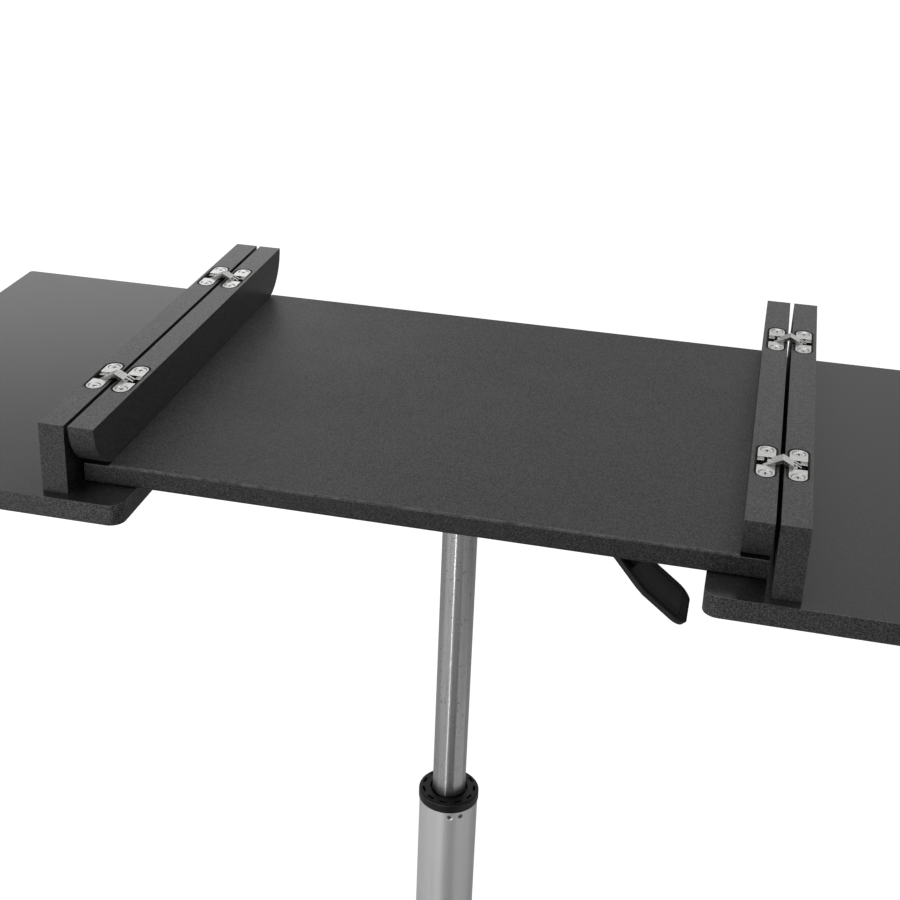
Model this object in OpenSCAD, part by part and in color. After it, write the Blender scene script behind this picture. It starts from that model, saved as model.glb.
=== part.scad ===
// Laptop cart: a centre board on a gas lift column, a fold-over wing board
// on each side, and a four-armed base on braked twin-wheel casters.
// Origin on the floor under the column. +X right, +Y back, +Z up.

/* [Boards] */
// Width of the centre board, left to right
centre_w = 450; // [400:5:560]
// Depth of the centre board, front to back
centre_d = 340; // [335:1:365]
// Thickness of all three boards
board_t = 15; // [12:1:20]
// Radius that softens the long edges of the centre board
board_edge_r = 2; // [0.5:0.5:3]
// Distance from each fold line to the wing's outer edge
wing_reach = 223.5; // [190:0.5:224]
// Depth of each wing, front to back
wing_d = 395; // [385:1:430]
// How far each wing reaches in under the centre board
under_lap = 36.5; // [20:0.5:50]
// Radius of the two inner corners of a wing
wing_inner_r = 10; // [4:1:18]
// Radius of the two outer corners of a wing
wing_outer_r = 3; // [1:0.5:12]

/* [Rails] */
// Thickness of the upright rails
rail_t = 18; // [17.5:0.5:24]
// Length of the rails, front to back
rail_l = 380; // [370:2:385]
// Height of the inner rails above the centre board
inner_rail_h = 35; // [35:1:50]
// Depth of the housing in the centre board that each inner rail stands in
rail_let_in = 1; // [0.5:0.25:3]
// Radius of the lower corners of the inner rails
rail_end_r = 35; // [20:1:35]
// Gap between an inner and an outer rail
fold_gap = 3; // [2.5:0.25:4]
// Distance of the end screws of a rail from its middle
rail_screw_y = 145; // [130:1:150]
// Diameter of the rail screws
rail_screw_d = 4; // [3:0.5:5]
// Diameter of the heads of the rail screws
rail_head_d = 8; // [7:0.5:10]
// Bite of a rail screw in its rail
rail_screw_bite = 17; // [12:1:25]

/* [Hinges] */
// Distance between the two hinges of a side
hinge_spacing = 214; // [160:2:230]
// Width of a hinge cup
hinge_w = 11.5; // [11:0.5:13]
// Length of the face plate of a hinge cup
hinge_l = 45; // [42:1:56]
// Thickness of the face plate
hinge_plate_t = 2.5; // [2:0.25:3]
// Wood left between the gap face of a rail and the hinge cup
hinge_inset = 2.75; // [2.5:0.25:3.25]
// Distance of a hinge pin from the gap face of its rail
pin_inset = 5.5; // [5.5:0.25:6.5]
// Diameter of the hinge pins
hinge_pin_d = 2.5; // [2:0.25:3]
// Number of plates in a hinge link, side by side
link_plates = 5; // [3:2:7]
// Thickness of one link plate
link_t = 1.6; // [1.2:0.1:1.8]
// Width of a link arm
link_w = 2.4; // [2.2:0.1:2.8]
// Height of the middle of the link's peak above the rail tops
link_rise = 3.8; // [3.6:0.1:5]
// Distance of a link's tail end from the gap face of the rail
tail_inset = 10.5; // [9.5:0.25:12]
// Depth of the middle of a link's tail end below the rail tops
tail_drop = 2.2; // [1.8:0.1:2.6]
// Length of the raised pad at the outer end of a cup's slot
slot_pad_l = 4.4; // [3:0.2:5]
// Width of that pad, along the rail
slot_pad_w = 3.2; // [2:0.2:4]
// Depth of the pad's top below the face plate
slot_pad_drop = 1.2; // [0.8:0.1:2]
// Thickness of the cheeks that hold the hinge pins
cheek_t = 4.5; // [3.5:0.25:6]
// Diameter of the heads of the hinge screws
hinge_head_d = 8; // [6:0.25:8.5]
// Depth of the heads of the hinge screws below the face plate
hinge_head_sink = 0.4; // [0.2:0.1:0.6]
// Diameter of the hinge screws
hinge_screw_d = 3.2; // [2.5:0.1:4]
// Length of the hinge screws
hinge_screw_l = 16; // [12:1:20]

/* [Lift bracket] */
// Width of the bracket plate under the centre board
bracket_w = 160; // [130:5:200]
// Depth of the bracket plate
bracket_d = 140; // [110:5:180]
// Thickness of the bracket plate
bracket_t = 3; // [2:0.5:5]
// Distance of the bracket screws from the edges of the plate
bracket_screw_in = 15; // [10:1:22]
// Diameter of the bracket screws
bracket_screw_d = 6; // [5:0.5:7]
// Diameter of the bracket screw heads
bracket_head_d = 12; // [10:0.5:14]
// Width of the lever box, left to right
box_w = 70; // [64:2:90]
// Depth of the lever box, front to back
box_d = 50; // [44:2:70]
// Height of the lever box below the bracket plate
box_h = 34; // [33:1:46]
// Wall of the lever box
box_wall = 2.5; // [2:0.25:3]
// Outer diameter of the socket that holds the gas cylinder
socket_d = 40; // [36:1:48]
// Length of the socket below the lever box
socket_l = 33; // [20:1:50]

/* [Release lever] */
// Diameter of the lever rod
lever_d = 8; // [7:0.5:9]
// Depth of the lever's pivot below the bracket plate
lever_drop = 15; // [13:0.5:16]
// Distance of the pivot from the right wall of the lever box
lever_pivot_in = 10; // [9:0.5:12]
// Diameter of the lever's pivot pin
lever_pin_d = 4; // [3:0.5:5]
// Straight run of the rod from its pivot to its bend
lever_run = 27; // [24:1:45]
// Inner reach of the rod from its pivot, past the release button
lever_tail = 47; // [40:1:50]
// Middle radius of the bend in the lever rod
lever_bend_r = 16; // [10:1:30]
// Angle by which the rod bends down
lever_bend = 47; // [20:1:60]
// Length of the rod beyond its bend
lever_slope_l = 95; // [85:1:100]
// Length of the paddle from its root to its crook
paddle_l = 78; // [70:1:100]
// Length of the paddle beyond its crook
paddle_tip_l = 40.5; // [30:0.5:50]
// Angle of the crook in the paddle
paddle_crook = 8.5; // [3:0.5:14]
// Full width of the paddle
paddle_w = 50; // [40:1:56]
// Width of the paddle at its root
paddle_root_w = 26; // [20:1:30]
// Thickness of the paddle's blade
paddle_t = 3.6; // [3:0.2:6]
// Radius of the paddle's tip corners
paddle_tip_r = 13; // [6:0.5:18]
// Width of the raised rim round the blade's upper face
paddle_rim_w = 1.4; // [1:0.1:2.4]
// Depth of the dished upper face below its rim
paddle_dish_h = 0.8; // [0.4:0.1:1.2]
// Length of the root that keeps its full thickness
paddle_root_l = 12; // [8:1:20]
// Length of the socket part of the paddle on the rod
paddle_boss_l = 63; // [50:1:70]
// Wall of the paddle's boss round the rod
paddle_boss_wall = 3.5; // [2.5:0.5:5]
// Length of the grooved part of the blade before the crook
groove_l = 24; // [10:1:28]
// Length over which the blade widens from its root
flare_l = 70; // [55:1:76]
// Number of grip grooves that follow the blade's outline
groove_n = 3; // [1:1:4]
// Spacing of the grip grooves
groove_step = 1.8; // [1.4:0.1:2.2]
// Width and depth of a grip groove
groove_w = 0.6; // [0.4:0.1:0.8]

/* [Gas lift] */
// Outer diameter of the bright inner cylinder
cyl_d = 27; // [24:1:30]
// Wall of the inner cylinder
cyl_wall = 2; // [1.5:0.25:3]
// Cylinder length inside the outer tube at full height
cyl_overlap = 120; // [90:5:160]
// Bare cylinder between the guide cap and the socket at full height
exposed_l = 265; // [200:5:265]
// How far the table comes down from full height
stroke = 255; // [150:5:258]
// Height of the cylinder's top above the floor of the lever box
cyl_proud = 3.5; // [2:0.5:4]
// Diameter of the release button
button_d = 8; // [6:0.5:10]
// Depth of the button's bore in the cylinder
button_bore_l = 14; // [12:1:20]
// Diameter of the piston rod
rod_d = 10; // [8:1:12]
// Diameter of the rod's lower end, held in the hub floor
rod_end_d = 8; // [6:0.5:8]
// Height of the piston
piston_h = 12; // [8:1:20]
// Outer diameter of the outer tube
tube_d = 48; // [44:1:60]
// Wall of the outer tube
tube_wall = 1.5; // [1:0.25:3]
// Length of the outer tube
tube_l = 426; // [400:2:500]

/* [Guide cap] */
// Diameter of the guide cap on the outer tube
cap_d = 49.4; // [48.4:0.2:50.4]
// Height of the guide cap above the outer tube
cap_h = 8; // [7:0.5:14]
// Radius of the guide cap's rounded rim
cap_rim_r = 2; // [1:0.5:3]
// Length of the guide sleeve inside the outer tube
sleeve_l = 60; // [40:5:80]
// Wall of the guide sleeve round the bright cylinder
sleeve_wall = 6; // [3:0.5:8]
// Diameter of the wiper recess in the cap
recess_d = 31; // [30:0.5:34]
// Depth of the wiper recess
recess_h = 4; // [2:0.5:6]
// Number of slots round the cap's top face
cap_slots = 11; // [6:1:14]
// Diameter of the ring on which the slots lie
cap_slot_ring_d = 41.6; // [39:0.2:43]
// Length of a cap slot
cap_slot_l = 6.5; // [4:0.5:7.5]
// Width of a cap slot
cap_slot_w = 2; // [1:0.1:2.4]
// Depth of a cap slot
cap_slot_h = 3; // [1:0.5:5]

/* [Base] */
// Distance of each caster's swivel axis from the column axis
base_r = 275; // [240:5:320]
// Width of a base arm
arm_w = 40; // [34:1:50]
// Height of a base arm
arm_h = 25; // [20:1:32]
// Wall of a base arm
arm_wall = 2; // [1.5:0.25:3]
// Length of the arm beyond the caster's swivel axis
arm_past = 22; // [20:1:30]
// Outer diameter of the caster sleeve in an arm
caster_sleeve_d = 17; // [15:0.5:20]
// Length of the part of an end plug inside the arm
plug_l = 8; // [5:1:10]
// Thickness of an end plug's outer face
plug_t = 3; // [2:0.5:5]
// Outer diameter of the hub
hub_d = 62; // [60:1:80]
// Height of the hub above the arm undersides
hub_h = 54; // [40:1:80]
// Thickness of the hub's floor below the arm undersides
hub_floor = 6; // [4:0.5:8]
// Outer diameter of the thrust washer under the piston rod
washer_d = 24; // [18:1:36]
// Thickness of the thrust washer
washer_t = 4; // [2:0.5:6]
// Diameter of the retaining clip under the hub floor
clip_d = 16; // [14:1:24]
// Thickness of the retaining clip
clip_t = 2; // [1:0.25:3]

/* [Casters] */
// Diameter of the caster wheels
wheel_d = 50; // [44:1:52]
// Width of one caster wheel
wheel_w = 12; // [10:0.5:16]
// Height from the floor to the arm undersides
caster_h = 66; // [64:1:76]
// Distance of the axle behind the swivel axis
trail = 18; // [14:1:22]
// Thickness of the web between the two wheels
web_t = 8; // [6:0.5:10]
// Wall of the caster hood
hood_wall = 2; // [1.5:0.25:3]
// Gap between wheel and hood
hood_gap = 1.5; // [1:0.25:2]
// Diameter of the caster axle
axle_d = 6; // [5:0.5:8]
// Diameter of the caster stem
stem_d = 11; // [9:0.5:12]
// Diameter of the boss under the arm
boss_d = 20; // [18:1:24]
// Angle of the brake's pivot above the axle's level
brake_angle = 60; // [56:1:64]
// Distance of the brake's pivot outside the wheel tread
brake_out = 6; // [5.5:0.25:6.5]
// Diameter of the brake's trunnions
brake_pin_d = 4; // [3:0.5:4.5]
// Length of the brake's foot plate
brake_l = 25; // [18:1:32]
// Thickness of the brake's foot plate
brake_t = 3; // [2:0.5:4]
// Drop of the foot plate towards its free end
brake_drop = 2; // [0:0.5:3]
// Reach of the brake shoe below its pivot
shoe_l = 11; // [9:0.5:12]
// Thickness of the brake shoe
shoe_t = 6; // [5:0.5:7]
// Diameter of the dish in the outer face of a wheel
wheel_dish_d = 30; // [20:1:36]

/* [Fits] */
// Clearance round pins and shafts that turn or slide
run_fit = 0.05; // [0.02:0.01:0.09]
// Clearance round hinge cups set into the rails
mortise_fit = 0.5; // [0.2:0.1:0.6]
// Side clearance between parts that pass one another
side_fit = 0.3; // [0.2:0.05:0.4]
// Half the least gap between rail arrises as a wing folds
arris_fit = 0.2; // [0.15:0.05:0.3]
// Clearance beside an inner rail in its housing
housing_fit = 0.1; // [0.05:0.05:0.3]
// Gap between a brake shoe and the wheel treads
shoe_fit = 0.3; // [0.2:0.05:0.5]

/* [Hidden] */
$fn = 64;
// Overlap by which a cut runs past the face that it opens
past = 1;
// Step at each side where a flat bar meets its round end
strap_ease = 0.1;

// Heights above the floor, from the casters up
arm_z = caster_h;
hub_z = arm_z - hub_floor;
tube_top_z = arm_z + tube_l;
cap_top_z = tube_top_z + cap_h;
socket_z = cap_top_z + exposed_l;
box_z = socket_z + socket_l;
plate_z = box_z + box_h;
board_z = plate_z + bracket_t;
top_z = board_z + board_t;
rail_foot_z = top_z - rail_let_in;
rail_top_z = top_z + inner_rail_h;
wing_top_z = board_z;
wing_z = wing_top_z - board_t;

// Fold line and the places of the hinge parts, measured from it
fold_x = centre_w / 2 + fold_gap / 2;
pin_x = fold_gap / 2 + pin_inset;
cup_x = fold_gap / 2 + hinge_inset;
tail_x = fold_gap / 2 + tail_inset;
// This depth keeps the rail arrises arris_fit from the line on which they would meet
pin_drop = sqrt(pow(pin_x - arris_fit, 2) - pow(pin_x - fold_gap / 2, 2));
outer_rail_h = rail_top_z - wing_top_z;
lug_r = pin_inset - hinge_inset - side_fit;
link_slope = (link_rise + tail_drop) / tail_x;
link_upright = link_w * sqrt(1 + pow(link_slope, 2));
tail_sweep = norm([tail_x - pin_x, pin_drop - tail_drop + link_upright / 2]);
slot_h = pin_drop + tail_sweep + side_fit;
cup_floor = 2;
cup_h = slot_h + cup_floor;
lane_gap = 0.2;
link_pack_w = link_plates * link_t + (link_plates - 1) * lane_gap;
slot_w = link_pack_w + 2 * side_fit + slot_pad_w;
link_pack_y = side_fit + (link_pack_w - slot_w) / 2;
cup_l = slot_w + 2 * cheek_t;
hinge_screw_y = hinge_l / 2 - hinge_w / 2;
link_rivet_d = 1.8;
// A cross recess in a screw head
cross_w = 0.9;
cross_share = 0.5;
cross_h = 1.2;

// Gas lift
cyl_z = tube_top_z - cyl_overlap;
cyl_top_z = box_z + box_wall + cyl_proud;
cyl_end_t = 8;
cyl_bore_d = cyl_d - 2 * cyl_wall;
tube_bore_d = tube_d - 2 * tube_wall;
piston_gap = 6;
piston_z = cyl_z + cyl_end_t + piston_gap;
cyl_bore_l = piston_gap + piston_h + stroke + piston_gap;
rod_shoulder_z = arm_z + washer_t;
clip_gap = 0.3;
rod_tip_l = 3;

// Lever
lever_x = box_w / 2 - lever_pivot_in;
lever_z = plate_z - lever_drop;
lever_hub_wall = 1.5;
lever_hub_d = lever_d + 2 * lever_hub_wall;
lever_hub_l = 16;
lever_side_room = 2;
lever_lift_room = 3;
lever_slot_w = lever_d + 2 * lever_side_room;
lever_slot_h = lever_d + 2 * lever_lift_room;
// The bend is a trace thicker than the straight runs, which reach this far into it
bend_lap = 1;
bend_swell = 0.15;
bend_end_x = lever_x + lever_run + lever_bend_r * sin(lever_bend);
bend_end_z = lever_z - lever_bend_r * (1 - cos(lever_bend));
boss_past_rod = 8;
paddle_root = lever_slope_l - paddle_boss_l + boss_past_rod;
blade_crook = paddle_root + paddle_l;
blade_end = blade_crook + paddle_tip_l;
blade_reach = blade_crook + paddle_tip_l * cos(paddle_crook);
// Share of the blade's half thickness that is left upright at the tip
blunt_share = 0.7;
least_tip_r = 0.5;
button_gap = 0.3;
button_top_z = lever_z - lever_d / 2 - button_gap;
button_sunk = 8;
board_skin = 4;
bracket_screw_bite = board_t - board_skin;
bracket_head_t = 3;

// Casters
axle_z = wheel_d / 2;
wheel_r = wheel_d / 2;
hood_r = wheel_r + hood_gap;
wheel_in = web_t / 2 + side_fit;
wheel_out = wheel_in + wheel_w;
hood_half_w = wheel_out + side_fit;
hood_lead = 12;
hood_from = brake_angle + hood_lead;
hood_to = 188;
ear_lap = 6;
fan_steps = 4;
tread_soft = 1.5;
wheel_dish = 2;
wheel_dish_r = wheel_dish_d / 2;
wheel_hub_r = axle_d;
wheel_fn = 96;
web_hub_r = 10;
stem_grip = 16;
stem_top_z = arm_z + arm_h - arm_wall;
brake_r = wheel_r + brake_out;
brake_x = trail + brake_r * cos(brake_angle);
brake_z = axle_z + brake_r * sin(brake_angle);
ear_wall = 2.5;
ear_r = brake_pin_d / 2 + ear_wall;
ear_t = 3.5;
brake_hub_wall = 1.5;
brake_hub_r = brake_pin_d / 2 + brake_hub_wall;
brake_half_w = hood_half_w - ear_t - side_fit;
foot_z = brake_hub_r - brake_drop;
shoe_nose = 1;
shoe_nose_z = 3;

// Plain shapes used by several parts

// The right-hand copy of a shape, or its mirror image on the left
module on_side(s) {
    mirror([s < 0 ? 1 : 0, 0, 0]) children();
}

// The waste of a rounded corner whose point is at the origin
module corner_waste(r) {
    difference() {
        translate([-past, -past]) square(r + past);
        translate([r, r]) circle(r);
    }
}

// A rectangle with one radius at its left corners and another at its right corners
module soft_rect(x0, x1, d, left_r, right_r) {
    difference() {
        translate([x0, -d / 2]) square([x1 - x0, d]);
        for (k = [0, 1])
            mirror([0, k]) {
                translate([x0, -d / 2]) corner_waste(left_r);
                translate([x1, -d / 2]) mirror([1, 0]) corner_waste(right_r);
            }
    }
}

// A shape drawn with X along Y and Y along Z, run along X from x0 to x1
module along_x(x0, x1) {
    translate([x0, 0, 0]) rotate([90, 0, 90]) linear_extrude(x1 - x0) children();
}

// A shape drawn in X and Z, run along Y from y0 to y1
module along_y(y0, y1) {
    translate([0, y1, 0]) rotate([90, 0, 0]) linear_extrude(y1 - y0) children();
}

// A round bar along Y
module bar_y(x, z, d, y0, y1) {
    translate([x, y1, z]) rotate([90, 0, 0]) cylinder(d = d, h = y1 - y0);
}

// A flat bar from one point to another in a drawing plane, a trace narrower than its round ends
module strap(a, b, w) {
    run = b - a;
    bar_w = w - 2 * strap_ease;
    translate(a) rotate(atan2(run[1], run[0])) translate([0, -bar_w / 2]) square([norm(run), bar_w]);
    translate(a) circle(d = w);
    translate(b) circle(d = w);
}

// A countersunk screw with its head's face at z = 0, pointing down
module sunk_screw(head_d, d, l) {
    head_h = (head_d - d) / 2;
    difference() {
        union() {
            translate([0, 0, -head_h]) cylinder(d1 = d, d2 = head_d, h = head_h);
            translate([0, 0, -l]) cylinder(d = d, h = l);
        }
        for (a = [0, 90])
            rotate(a)
                translate([-head_d * cross_share / 2, -cross_w / 2, -cross_h])
                    cube([head_d * cross_share, cross_w, cross_h + past]);
    }
}

// The hole that such a screw fills
module sunk_hole(head_d, d, l) {
    head_h = (head_d - d) / 2;
    translate([0, 0, -head_h]) cylinder(d1 = d, d2 = head_d, h = head_h);
    translate([0, 0, -l]) cylinder(d = d, h = l + past);
}

// Boards and rails

module rail_screw_places() {
    for (y = [-rail_screw_y, 0, rail_screw_y])
        translate([0, y, 0]) rotate([180, 0, 0]) children();
}

module rail_screws(x, z) {
    color("dimgray")
        translate([x, 0, z])
            rail_screw_places() sunk_screw(rail_head_d, rail_screw_d, board_t + rail_screw_bite);
}

module rail_screw_holes(x, z) {
    translate([x, 0, z])
        rail_screw_places() sunk_hole(rail_head_d, rail_screw_d, board_t + rail_screw_bite);
}

inner_rail_x = centre_w / 2 - rail_t / 2;
outer_rail_x = fold_x + fold_gap / 2 + rail_t / 2;

module centre_panel() {
    color("#262626")
        difference() {
            along_x(-centre_w / 2, centre_w / 2)
                translate([0, board_z + board_t / 2])
                    difference() {
                        square([centre_d, board_t], center = true);
                        for (a = [0, 1], b = [0, 1])
                            mirror([a, 0]) mirror([0, b])
                                translate([-centre_d / 2, -board_t / 2]) corner_waste(board_edge_r);
                    }
            for (s = [-1, 1]) {
                on_side(s)
                    translate([centre_w / 2 - rail_t - housing_fit, -centre_d / 2 - past, rail_foot_z])
                        cube([rail_t + housing_fit + past, centre_d + 2 * past, rail_let_in + past]);
                rail_screw_holes(s * inner_rail_x, board_z);
            }
            for (p = bracket_screw_places)
                translate([p[0], p[1], board_z - past])
                    cylinder(d = bracket_screw_d, h = bracket_screw_bite + past);
        }
}

module rail_bar(x, z, h, end_r) {
    along_x(x - rail_t / 2, x + rail_t / 2)
        translate([0, z])
            difference() {
                translate([-rail_l / 2, 0]) square([rail_l, h]);
                if (end_r > 0)
                    for (k = [0, 1])
                        mirror([k, 0]) translate([-rail_l / 2, 0]) corner_waste(end_r);
            }
}

module inner_rail(s) {
    color("#3a3a3a")
        difference() {
            on_side(s) difference() {
                rail_bar(inner_rail_x, rail_foot_z, rail_let_in + inner_rail_h, rail_end_r);
                hinge_mortises(-1);
            }
            rail_screw_holes(s * inner_rail_x, board_z);
        }
}

module outer_rail(s) {
    color("#3a3a3a")
        difference() {
            on_side(s) difference() {
                rail_bar(outer_rail_x, wing_top_z, outer_rail_h, 0);
                hinge_mortises(1);
            }
            rail_screw_holes(s * outer_rail_x, wing_z);
        }
}

module wing_panel(s) {
    color("#303030")
        difference() {
            on_side(s)
                translate([0, 0, wing_z])
                    linear_extrude(board_t)
                        soft_rect(centre_w / 2 - under_lap, fold_x + wing_reach, wing_d,
                                  wing_inner_r, wing_outer_r);
            rail_screw_holes(s * outer_rail_x, wing_z);
        }
}

// Hinges, drawn from the fold line at the level of the rail tops.
// way is -1 for the cup in the inner rail and 1 for the cup in the outer rail.

module at_hinges() {
    for (y = [-hinge_spacing / 2, hinge_spacing / 2])
        translate([fold_x, y, rail_top_z]) children();
}

module plate_outline(grow) {
    w = hinge_w + 2 * grow;
    straight = hinge_l - hinge_w;
    square([w, straight], center = true);
    for (y = [-straight / 2, straight / 2])
        translate([0, y]) circle(d = w);
}

module cup_block(grow) {
    translate([0, 0, -hinge_plate_t]) linear_extrude(hinge_plate_t + past) plate_outline(grow);
    translate([-hinge_w / 2 - grow, -cup_l / 2 - grow, -cup_h - grow])
        cube([hinge_w + 2 * grow, cup_l + 2 * grow, cup_h + grow]);
}

module hinge_mortises(way) {
    at_hinges()
        translate([way * (cup_x + hinge_w / 2), 0, 0]) {
            cup_block(mortise_fit);
            hinge_screw_holes();
        }
}

module hinge_screw_holes() {
    for (y = [-hinge_screw_y, hinge_screw_y])
        translate([0, y, 0])
            sunk_hole(hinge_head_d + 2 * hinge_head_sink, hinge_screw_d, hinge_screw_l + hinge_head_sink);
}

// The end of a cup's slot is closed by a pad behind the link plates
module cup_slot(way) {
    difference() {
        translate([-hinge_w, -slot_w / 2, -slot_h]) cube([2 * hinge_w, slot_w, slot_h + past]);
        translate([way > 0 ? hinge_w / 2 - slot_pad_l : -hinge_w / 2 - past,
                   slot_w / 2 - slot_pad_w, -slot_h - past])
            cube([slot_pad_l + past, slot_pad_w + past, slot_h + past - slot_pad_drop]);
    }
}

module hinge_cups(s, way) {
    color("silver")
        on_side(s)
            at_hinges()
                difference() {
                    translate([way * (cup_x + hinge_w / 2), 0, 0])
                        difference() {
                            intersection() {
                                cup_block(0);
                                translate([-hinge_w, -hinge_l, -2 * cup_h])
                                    cube([2 * hinge_w, 2 * hinge_l, 2 * cup_h]);
                            }
                            cup_slot(way);
                            hinge_screw_holes();
                        }
                    bar_y(way * pin_x, -pin_drop, hinge_pin_d, -cup_l, cup_l);
                }
}

module hinge_pins(s, way) {
    color("gainsboro")
        on_side(s)
            at_hinges() {
                bar_y(way * pin_x, -pin_drop, hinge_pin_d, -cup_l / 2, cup_l / 2);
                translate([way * (cup_x + hinge_w / 2), 0, 0])
                    for (y = [-hinge_screw_y, hinge_screw_y])
                        translate([0, y, -hinge_head_sink])
                            sunk_screw(hinge_head_d, hinge_screw_d, hinge_screw_l);
            }
}

// The plates of a link lie in lanes, from the front. The tail of a front plate points left
// and that of every second rear plate right; the others end at the pins.
function tail_side(lane) =
    lane < (link_plates - 1) / 2 ? -1 : (lane - (link_plates - 1) / 2) % 2 == 0 ? 1 : 0;

// One link plate: two lugs on the hinge pins, a bent bridge over the gap
// and a tail that dips into the cup on the side that tail_way names
module link_plate(tail_way) {
    pin_arm_z = link_rise - link_slope * pin_x;
    up = [0, link_upright / 2];
    peak = [0, link_rise];
    left = tail_way < 0 ? [-tail_x, -tail_drop] : [-pin_x, pin_arm_z];
    right = tail_way > 0 ? [tail_x, -tail_drop] : [pin_x, pin_arm_z];
    along_y(-link_t / 2, link_t / 2)
        difference() {
            union() {
                polygon([right + up, peak + up, left + up, left - up, peak - up, right - up]);
                for (w = [-1, 1]) {
                    translate([w * pin_x - lug_r + strap_ease, -pin_drop])
                        square([2 * (lug_r - strap_ease), pin_drop + pin_arm_z]);
                    translate([w * pin_x, -pin_drop]) circle(lug_r);
                }
            }
            for (w = [-1, 1])
                translate([w * pin_x, -pin_drop]) circle(d = hinge_pin_d + 2 * run_fit);
        }
}

module hinge_links(s) {
    color("gainsboro")
        on_side(s)
            at_hinges()
                translate([0, link_pack_y, 0]) {
                    for (lane = [0 : link_plates - 1])
                        translate([0, (lane - (link_plates - 1) / 2) * (link_t + lane_gap), 0])
                            link_plate(s * tail_side(lane));
                    bar_y(0, link_rise, link_rivet_d, -link_pack_w / 2, link_pack_w / 2);
                }
}

// Lift bracket, lever and button

bracket_screw_places = [
    for (i = [-1, 1], j = [-1, 1])
        [i * (bracket_w / 2 - bracket_screw_in), j * (bracket_d / 2 - bracket_screw_in)]
];

module lift_bracket() {
    color("#202020")
        difference() {
            union() {
                translate([-bracket_w / 2, -bracket_d / 2, plate_z])
                    cube([bracket_w, bracket_d, bracket_t]);
                translate([-box_w / 2, -box_d / 2, box_z]) cube([box_w, box_d, box_h]);
                translate([0, 0, socket_z]) cylinder(d = socket_d, h = socket_l);
            }
            translate([-box_w / 2 + box_wall, -box_d / 2 + box_wall, box_z + box_wall])
                cube([box_w - 2 * box_wall, box_d - 2 * box_wall, box_h - box_wall]);
            translate([0, 0, socket_z - past])
                cylinder(d = cyl_d, h = socket_l + box_wall + 2 * past);
            translate([box_w / 2 - box_wall - past, -lever_slot_w / 2, lever_z - lever_slot_h / 2])
                cube([box_wall + 2 * past, lever_slot_w, lever_slot_h]);
            bar_y(lever_x, lever_z, lever_pin_d, -box_d, box_d);
            for (p = bracket_screw_places)
                translate([p[0], p[1], plate_z - past])
                    cylinder(d = bracket_screw_d, h = bracket_t + 2 * past);
        }
}

module bracket_screws() {
    color("dimgray")
        for (p = bracket_screw_places)
            translate([p[0], p[1], plate_z])
                difference() {
                    union() {
                        cylinder(d = bracket_screw_d, h = bracket_t + bracket_screw_bite);
                        translate([0, 0, -bracket_head_t])
                            cylinder(d = bracket_head_d, h = bracket_head_t);
                    }
                    for (a = [0, 90])
                        rotate(a)
                            translate([-bracket_head_d * cross_share / 2, -cross_w,
                                       -bracket_head_t - past])
                                cube([bracket_head_d * cross_share, 2 * cross_w, cross_h + past]);
                }
}

module lever_pin() {
    color("silver") bar_y(lever_x, lever_z, lever_pin_d, -box_d / 2, box_d / 2);
}

// Children drawn along +X from the end of the bend, in the slope's direction
module on_slope() {
    translate([bend_end_x, 0, bend_end_z]) rotate([0, lever_bend, 0]) children();
}

module lever_rod() {
    color("#2a2a2a")
        difference() {
            union() {
                translate([lever_x - lever_tail, 0, lever_z])
                    rotate([0, 90, 0])
                        cylinder(d = lever_d, h = lever_tail + lever_run + bend_lap);
                translate([lever_x + lever_run, 0, lever_z - lever_bend_r])
                    rotate([90, 0, 0])
                        rotate([0, 0, 90 - lever_bend])
                            rotate_extrude(angle = lever_bend)
                                translate([lever_bend_r, 0]) circle(d = lever_d + 2 * bend_swell);
                on_slope()
                    translate([-bend_lap, 0, 0])
                        rotate([0, 90, 0]) cylinder(d = lever_d, h = lever_slope_l + bend_lap);
                bar_y(lever_x, lever_z, lever_hub_d, -lever_hub_l / 2, lever_hub_l / 2);
            }
            bar_y(lever_x, lever_z, lever_pin_d + 2 * run_fit, -lever_hub_l, lever_hub_l);
        }
}

// A point on the blade's mid line, a distance along it and a height off it
function blade_point(along, off) =
    along <= blade_crook
        ? [along, off]
        : [blade_crook, 0] + (along - blade_crook) * [cos(paddle_crook), sin(paddle_crook)]
            + off * [-sin(paddle_crook), cos(paddle_crook)];

// Side view of the blade: straight along the rod, then a crook to the blunt tip
module blade_side() {
    half = paddle_t / 2;
    nose = half * blunt_share;
    polygon([
        blade_point(paddle_root, -half), [blade_crook + half * tan(paddle_crook / 2), -half],
        blade_point(blade_end - half + nose, -half), blade_point(blade_end, -nose),
        blade_point(blade_end, nose), blade_point(blade_end - half + nose, half),
        [blade_crook - half * tan(paddle_crook / 2), half], blade_point(paddle_root, half)
    ]);
}

// Blade seen from above, drawn in by an inset: a neck that widens, and a tip with round corners
module blade_plan(inset) {
    flare = paddle_root + flare_l;
    root_half = paddle_root_w / 2 - inset;
    half = paddle_w / 2 - inset;
    end = blade_reach - inset;
    difference() {
        polygon([
            [paddle_root, -root_half], [flare, -half], [end, -half],
            [end, half], [flare, half], [paddle_root, root_half]
        ]);
        for (k = [0, 1])
            mirror([0, k])
                translate([end, -half])
                    mirror([1, 0]) corner_waste(max(min(paddle_tip_r, paddle_w / 2) - inset, least_tip_r));
    }
}

// What lies above a height off the blade's mid line, from a start to the tip, round the crook
module upper_layer(start, low) {
    high = paddle_t / 2 + past;
    along_y(-paddle_w / 2, paddle_w / 2)
        polygon([
            [start, low], [blade_crook - low * tan(paddle_crook / 2), low],
            blade_point(blade_end, low), blade_point(blade_end, high),
            [blade_crook - high * tan(paddle_crook / 2), high], [start, high]
        ]);
}

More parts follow.
